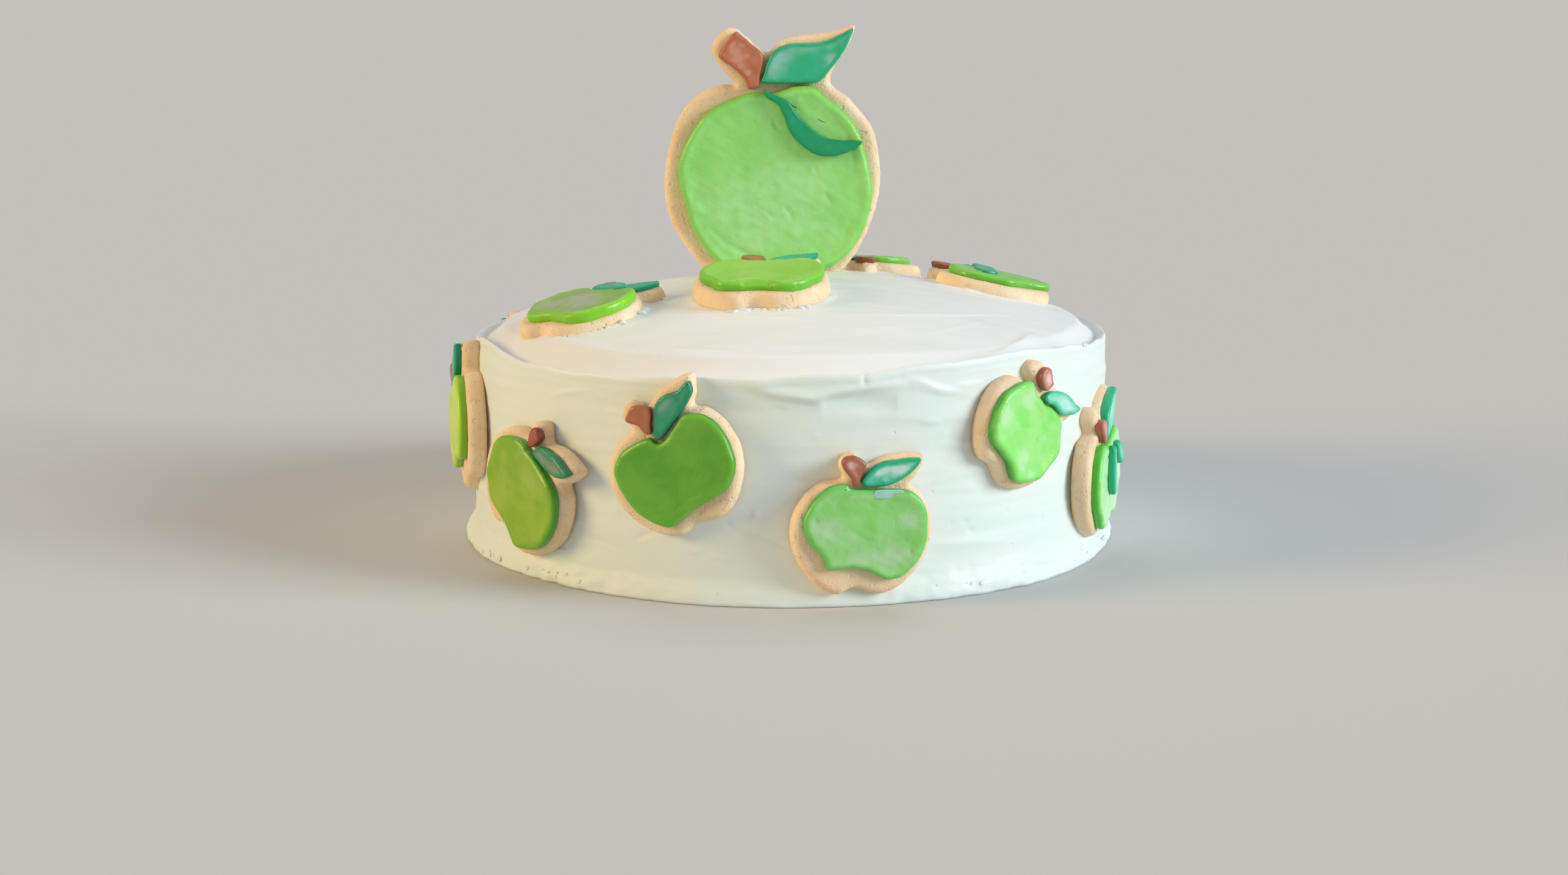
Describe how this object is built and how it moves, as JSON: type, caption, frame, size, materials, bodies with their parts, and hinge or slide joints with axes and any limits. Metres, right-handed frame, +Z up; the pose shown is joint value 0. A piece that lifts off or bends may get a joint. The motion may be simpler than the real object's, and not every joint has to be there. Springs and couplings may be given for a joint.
{
  "type": "layer cake",
  "caption": "Round layer cake with smooth pale frosting, iced apple biscuits on its side and top, and a large apple biscuit standing in the top.",
  "frame": {"origin": "on the base's flat underside, on the cake's upright axis", "axes": "+Z up, -Y towards the front, which the large biscuit faces, +X to the viewer's right"},
  "size_m": [0.2552, 0.262, 0.1916],
  "materials": {
    "frosting": "whipped pale mint frosting, satin, with spatula marks",
    "biscuit": "pale golden baked biscuit, matte",
    "green_icing": "soft green icing, satin",
    "brown_icing": "reddish brown icing, satin",
    "leaf_icing": "blue green icing, satin, mottled paler"
  },
  "bodies": {
    "root": {"cake": "frosting", "large_biscuit": "biscuit", "side_1_biscuit": "biscuit", "side_2_biscuit": "biscuit", "side_3_biscuit": "biscuit", "side_4_biscuit": "biscuit", "side_5_biscuit": "biscuit", "side_6_biscuit": "biscuit", "back_1_biscuit": "biscuit", "back_2_biscuit": "biscuit", "back_3_biscuit": "biscuit", "back_4_biscuit": "biscuit", "back_5_biscuit": "biscuit", "top_1_biscuit": "biscuit", "top_2_biscuit": "biscuit", "top_3_biscuit": "biscuit", "top_4_biscuit": "biscuit", "large_icing": "green_icing", "side_1_icing": "green_icing", "side_2_icing": "green_icing", "side_3_icing": "green_icing", "side_4_icing": "green_icing", "side_5_icing": "green_icing", "side_6_icing": "green_icing", "back_1_icing": "green_icing", "back_2_icing": "green_icing", "back_3_icing": "green_icing", "back_4_icing": "green_icing", "back_5_icing": "green_icing", "top_1_icing": "green_icing", "top_2_icing": "green_icing", "top_3_icing": "green_icing", "top_4_icing": "green_icing", "large_stem": "brown_icing", "side_1_stem": "brown_icing", "side_2_stem": "brown_icing", "side_3_stem": "brown_icing", "side_4_stem": "brown_icing", "side_5_stem": "brown_icing", "side_6_stem": "brown_icing", "top_1_stem": "brown_icing", "top_2_stem": "brown_icing", "top_3_stem": "brown_icing", "top_4_stem": "brown_icing", "large_leaf": "leaf_icing", "large_low_leaf": "leaf_icing", "side_1_leaf": "leaf_icing", "side_2_leaf": "leaf_icing", "side_3_leaf": "leaf_icing", "side_4_leaf": "leaf_icing", "side_5_leaf": "leaf_icing", "side_6_leaf": "leaf_icing", "side_4_strip_long": "leaf_icing", "side_4_strip_short": "leaf_icing", "top_1_leaf": "leaf_icing", "top_2_leaf": "leaf_icing", "top_3_leaf": "leaf_icing", "top_4_leaf": "leaf_icing"}
  },
  "joints": []
}
